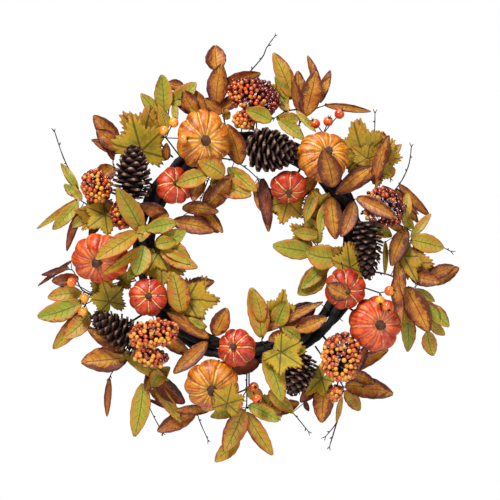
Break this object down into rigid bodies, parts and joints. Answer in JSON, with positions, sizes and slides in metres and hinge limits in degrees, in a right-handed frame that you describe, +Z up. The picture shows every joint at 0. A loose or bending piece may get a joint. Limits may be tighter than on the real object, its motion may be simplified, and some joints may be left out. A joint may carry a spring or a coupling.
{
  "type": "autumn door wreath",
  "caption": "Round autumn wreath: twisted dark vine ring dressed with pumpkins, cones, berries, hips and fabric leaves; hangs from a wire loop.",
  "frame": {"origin": "where the hook on the door bears on the inside of the top of the hanging loop", "axes": "+Z up along the door, +Y towards the door, the decorated face looks along -Y"},
  "size_m": [0.6066, 0.1253, 0.617],
  "materials": {
    "vine": "dyed near-black bark, matt",
    "wire": "black wire, satin",
    "pumpkin_red": "painted foam, red-orange with pale yellow grooves",
    "pumpkin_gold": "painted foam, mottled orange and yellow",
    "pumpkin_orange": "painted foam, orange-red with pale grooves",
    "pumpkin_stem": "dark brown, matt",
    "cone": "dark brown scales with greyish tips",
    "berry": "peach, golden and red, glossy",
    "hip": "orange with a red blush, dark star at the end",
    "leaf_green": "printed fabric, green to yellow with veins",
    "leaf_orange": "printed fabric, orange to burgundy with veins"
  },
  "bodies": {
    "wreath": {"vine_1": "vine", "vine_2": "vine", "vine_3": "vine", "vine_4": "vine", "binding_wire_left": "wire", "binding_wire_right": "wire", "hanger_eye": "wire", "pumpkin_01": "pumpkin_gold", "pumpkin_02": "pumpkin_gold", "pumpkin_03": "pumpkin_red", "pumpkin_04": "pumpkin_red", "pumpkin_05": "pumpkin_orange", "pumpkin_06": "pumpkin_red", "pumpkin_07": "pumpkin_red", "pumpkin_08": "pumpkin_gold", "pumpkin_09": "pumpkin_red", "pumpkin_10": "pumpkin_orange", "pumpkin_stem_01": "pumpkin_stem", "pumpkin_stem_02": "pumpkin_stem", "pumpkin_stem_03": "pumpkin_stem", "pumpkin_stem_04": "pumpkin_stem", "pumpkin_stem_05": "pumpkin_stem", "pumpkin_stem_06": "pumpkin_stem", "pumpkin_stem_07": "pumpkin_stem", "pumpkin_stem_08": "pumpkin_stem", "pumpkin_stem_09": "pumpkin_stem", "pumpkin_stem_10": "pumpkin_stem", "pinecone_01": "cone", "pinecone_02": "cone", "pinecone_03": "cone", "pinecone_04": "cone", "pinecone_05": "cone", "berry_cluster_01": "berry", "berry_cluster_02": "berry", "berry_cluster_03": "berry", "berry_cluster_04": "berry", "berry_cluster_05": "berry", "hip_sprig_01": "hip", "hip_sprig_02": "hip", "hip_sprig_03": "hip", "hip_sprig_04": "hip", "hip_sprig_05": "hip", "leaf_spray_outer_01": "leaf_green", "leaf_spray_outer_02": "leaf_orange", "leaf_spray_outer_03": "leaf_orange", "leaf_spray_outer_04": "leaf_green", "leaf_spray_outer_05": "leaf_orange", "leaf_spray_outer_06": "leaf_green", "leaf_spray_outer_07": "leaf_green", "leaf_spray_outer_08": "leaf_green", "leaf_spray_outer_09": "leaf_green", "leaf_spray_outer_10": "leaf_green", "leaf_spray_outer_11": "leaf_orange", "leaf_spray_inner_01": "leaf_orange", "leaf_spray_inner_02": "leaf_green", "leaf_spray_inner_03": "leaf_orange", "leaf_spray_inner_04": "leaf_orange", "leaf_spray_inner_05": "leaf_green", "leaf_spray_inner_06": "leaf_orange"},
    "hanging_loop": {"hanging_loop": "wire"}
  },
  "joints": [
    {"name": "hanging_loop_fold", "type": "hinge", "parent": "wreath", "child": "hanging_loop", "pos_m": [0, 0, -0.0449], "axis": [-1, 0, 0], "range_deg": [0, 180]}
  ]
}
